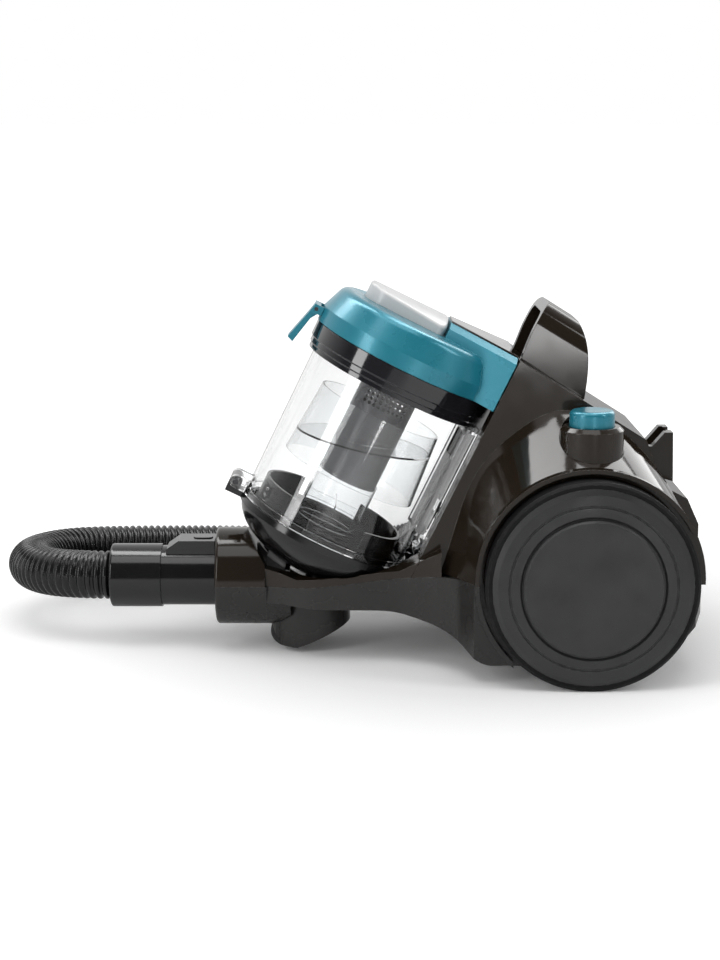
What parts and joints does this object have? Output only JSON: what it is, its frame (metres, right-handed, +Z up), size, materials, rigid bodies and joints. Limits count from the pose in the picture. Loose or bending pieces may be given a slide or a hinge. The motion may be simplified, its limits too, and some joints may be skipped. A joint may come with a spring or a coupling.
{
  "type": "canister vacuum cleaner",
  "caption": "Bagless canister vacuum cleaner: wheeled body with a lift-out cyclone bin, carry handle, push-button switch, swivel caster and ribbed suction hose with a hand grip.",
  "frame": {"origin": "on the floor under the middle of the machine, measured without the hose and its fittings", "axes": "+X from the hose inlet to the exhaust, +Y from the switch side to the far side, +Z up"},
  "size_m": [0.5877, 1.0049, 0.2943],
  "materials": {
    "housing": "gloss, dark bronze grey",
    "chassis": "satin charcoal",
    "wheel": "satin black",
    "tyre": "matt black",
    "inner_plastic": "satin black",
    "hose_black": "gloss black",
    "teal": "metallic teal",
    "silver": "metallic silver",
    "smoked": "smoked black",
    "clear": "clear plastic",
    "cyclone": "satin dark grey",
    "seal": "matt black",
    "filter": "felt",
    "steel": "bright steel",
    "motor": "cast",
    "latch": "translucent grey",
    "reel": "satin grey",
    "board": "laminate green"
  },
  "bodies": {
    "base": {"upper_housing": "housing", "bin_cradle": "housing", "chassis": "chassis", "hose_socket": "inner_plastic", "inlet_duct": "inner_plastic", "inlet_seal": "seal", "outlet_seal": "seal", "carry_handle": "housing", "handle_screws": "steel", "switch_turret": "housing", "switch_block": "inner_plastic", "circuit_board": "board", "parking_bracket": "chassis", "exhaust_filter": "filter", "cord_outlet": "seal", "motor_case": "motor", "motor_mount_front": "seal", "motor_mount_rear": "seal", "motor_bearing_front": "steel", "motor_bearing_rear": "steel", "reel_axle": "steel", "axle_left": "steel", "axle_right": "steel"},
    "bin": {"dust_cup": "clear", "cup_collar": "smoked", "cyclone_shroud": "cyclone", "cyclone_skirt": "clear", "pre_motor_filter": "filter", "lid_hinge_pin": "steel", "latch_pin": "steel"},
    "lid": {"bottom_lid": "hose_black", "lid_ring": "hose_black", "lid_seal": "seal"},
    "latch": {"lid_latch": "latch"},
    "cover": {"top_cover": "teal", "spine_strip": "housing", "clip_pin": "steel"},
    "cover_button": {"release_button": "silver"},
    "clip": {"cover_clip": "teal"},
    "switch_cap": {"power_button": "teal"},
    "left_wheel": {"wheel_left": "wheel", "tyre_left": "tyre", "cap_left": "wheel"},
    "right_wheel": {"wheel_right": "wheel", "tyre_right": "tyre", "cap_right": "wheel"},
    "caster": {"caster_housing": "chassis", "caster_axle": "steel"},
    "caster_roller": {"caster_wheel": "tyre"},
    "rotor": {"motor_shaft": "steel", "impeller": "motor", "armature": "steel"},
    "reel": {"cord_reel": "reel"},
    "grille": {"exhaust_grille": "inner_plastic"},
    "hose_set": {"hose_connector": "hose_black", "hose_cuff": "hose_black", "hose": "hose_black", "hand_grip": "hose_black"},
    "hose_unlock": {"hose_release": "hose_black"},
    "air_slide": {"grip_slider": "hose_black"}
  },
  "joints": [
    {"name": "bin_lift", "type": "slide", "parent": "base", "child": "bin", "axis": [0, 0, 1], "range_m": [0, 0.25]},
    {"name": "lid_swing", "type": "hinge", "parent": "bin", "child": "lid", "pos_m": [-0.17131, 0, 0.13683], "axis": [0, 1, 0], "range_deg": [0, 75]},
    {"name": "lid_latch_rock", "type": "hinge", "parent": "bin", "child": "latch", "pos_m": [-0.02764, 0, 0.0801], "axis": [0, -1, 0], "range_deg": [0, 8], "stiffness_Nm_per_rad": 0.3},
    {"name": "cover_lift", "type": "slide", "parent": "bin", "child": "cover", "axis": [0.4384, 0, 0.8988], "range_m": [0, 0.06]},
    {"name": "release_press", "type": "slide", "parent": "cover", "child": "cover_button", "axis": [-0.4384, 0, -0.8988], "range_m": [0, 0.003], "stiffness_N_per_m": 900},
    {"name": "cover_clip_swing", "type": "hinge", "parent": "cover", "child": "clip", "pos_m": [-0.10692, 0, 0.27342], "axis": [0, 1, 0], "range_deg": [0, 25], "stiffness_Nm_per_rad": 0.3},
    {"name": "power_press", "type": "slide", "parent": "base", "child": "switch_cap", "axis": [0, 0, -1], "range_m": [0, 0.004], "stiffness_N_per_m": 700},
    {"name": "left_wheel_spin", "type": "hinge", "parent": "base", "child": "left_wheel", "pos_m": [0.099, -0.127, 0.0795], "axis": [0, 1, 0], "continuous": true},
    {"name": "right_wheel_spin", "type": "hinge", "parent": "base", "child": "right_wheel", "pos_m": [0.099, 0.127, 0.0795], "axis": [0, 1, 0], "continuous": true},
    {"name": "caster_swivel", "type": "hinge", "parent": "base", "child": "caster", "pos_m": [-0.112, 0, 0.043], "axis": [0, 0, 1], "continuous": true},
    {"name": "caster_spin", "type": "hinge", "parent": "caster", "child": "caster_roller", "pos_m": [-0.132, 0, 0.013], "axis": [0, 1, 0], "continuous": true},
    {"name": "motor_spin", "type": "hinge", "parent": "base", "child": "rotor", "pos_m": [0.08, 0, 0.0795], "axis": [1, 0, 0], "continuous": true},
    {"name": "reel_spin", "type": "hinge", "parent": "base", "child": "reel", "pos_m": [0.107, 0.075, 0.0855], "axis": [0, 1, 0], "continuous": true},
    {"name": "grille_pull", "type": "slide", "parent": "base", "child": "grille", "axis": [1, 0, 0], "range_m": [0, 0.04]},
    {"name": "hose_unplug", "type": "slide", "parent": "base", "child": "hose_set", "axis": [-1, 0, 0], "range_m": [0, 0.06]},
    {"name": "hose_release_press", "type": "slide", "parent": "hose_set", "child": "hose_unlock", "axis": [0, 0, -1], "range_m": [0, 0.002], "stiffness_N_per_m": 600},
    {"name": "air_slide_move", "type": "slide", "parent": "hose_set", "child": "air_slide", "axis": [0, 1, 0], "range_m": [0, 0.014]}
  ],
  "couplings": [
    {"joint": "lid_swing", "follows": "bin_lift", "rad_per_m": 5.23}
  ]
}
